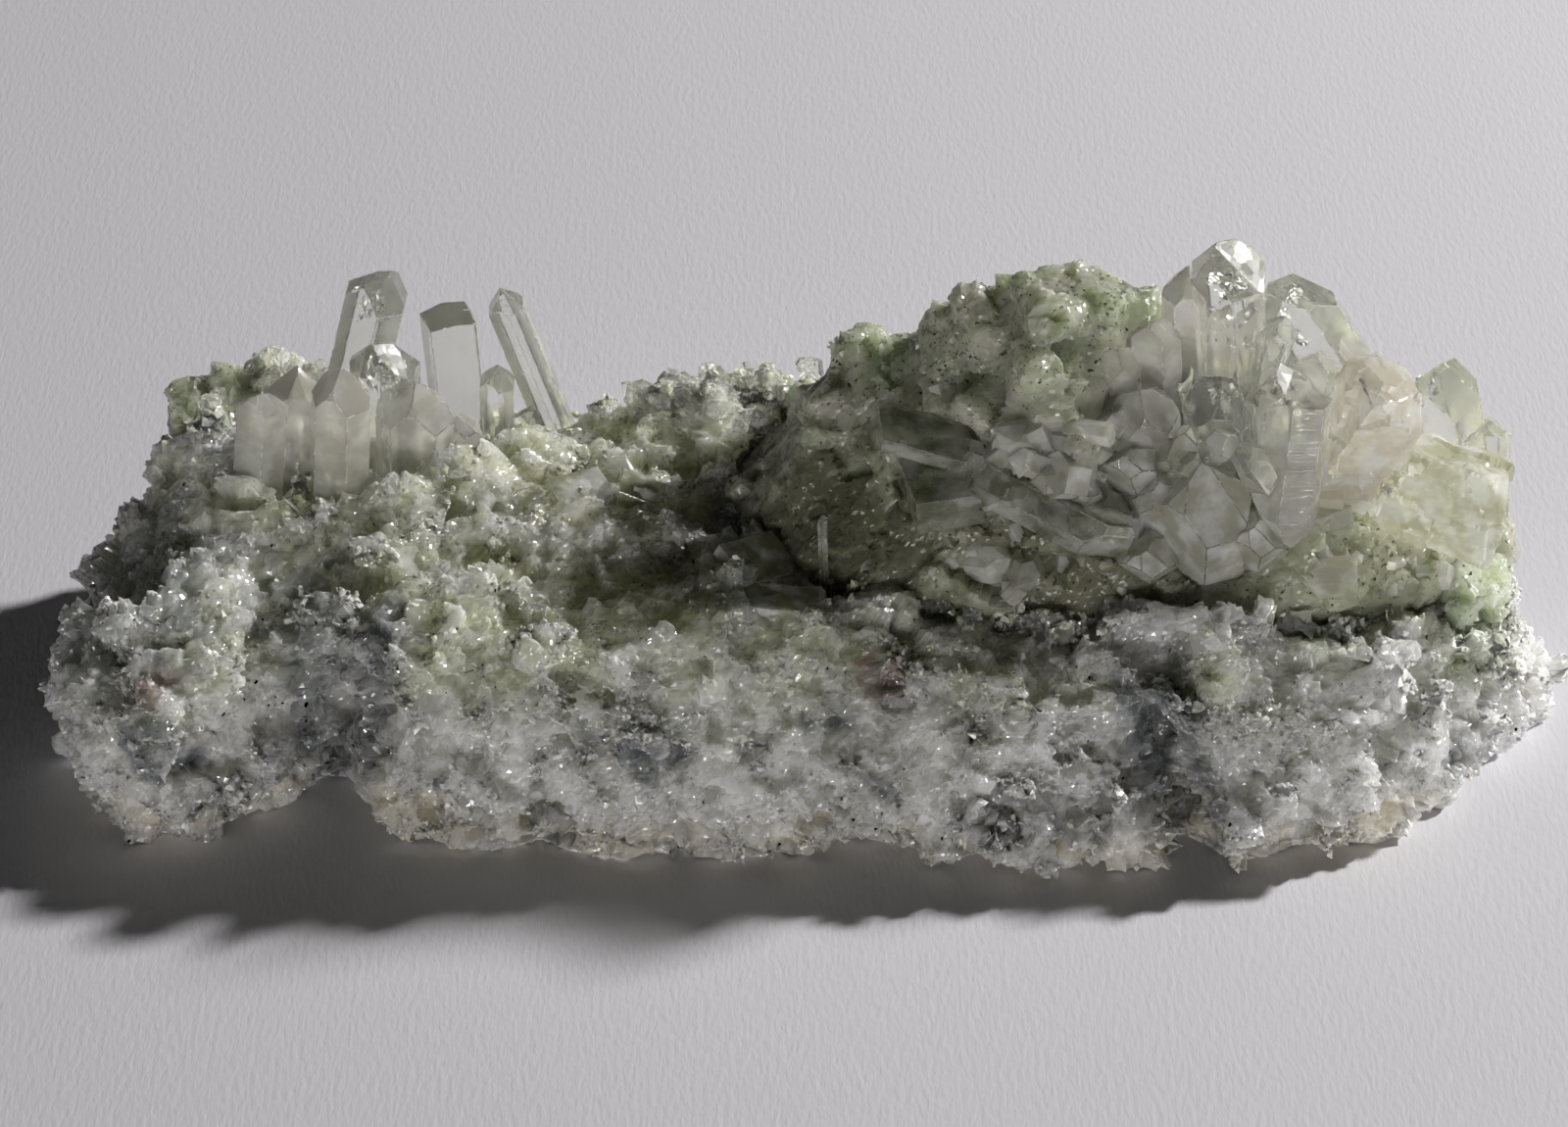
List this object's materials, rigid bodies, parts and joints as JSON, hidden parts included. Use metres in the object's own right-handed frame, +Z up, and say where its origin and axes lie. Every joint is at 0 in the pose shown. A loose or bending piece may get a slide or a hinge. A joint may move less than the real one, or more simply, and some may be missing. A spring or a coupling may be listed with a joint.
{
  "type": "fluorite with quartz and calcite",
  "caption": "Long slab of sugary calcite rock carrying a mound of green fluorite cubes, clear quartz prisms and pale calcite blocks, on a flat underside.",
  "frame": {"origin": "middle of the foot of the specimen's box, on the surface it rests on", "axes": "+X along the slab from the left crystal group to the mound's end, +Y from the broken front face to the back, +Z up"},
  "size_m": [0.098, 0.0346, 0.0361],
  "materials": {
    "matrix": "sugary, granular, grey-white with a green tint",
    "fluorite": "translucent pale green with glassy flat faces",
    "quartz": "clear, glassy, slightly smoky, with inner veils",
    "calcite": "cloudy white to cream, translucent, with cleavage faces"
  },
  "bodies": {
    "root": {"matrix_rock": "matrix", "fluorite_mound": "fluorite", "fluorite_corner": "fluorite", "fluorite_edge": "fluorite", "quartz_cluster_left": "quartz", "quartz_pair_left": "quartz", "quartz_prism_flat_top": "quartz", "quartz_prism_leaning": "quartz", "quartz_points_small": "quartz", "quartz_needle": "quartz", "quartz_cluster_right": "quartz", "quartz_prism_end": "quartz", "calcite_block_centre": "calcite", "calcite_block_end": "calcite", "calcite_blade": "calcite", "calcite_block_left": "calcite", "calcite_plate": "calcite"}
  },
  "joints": []
}
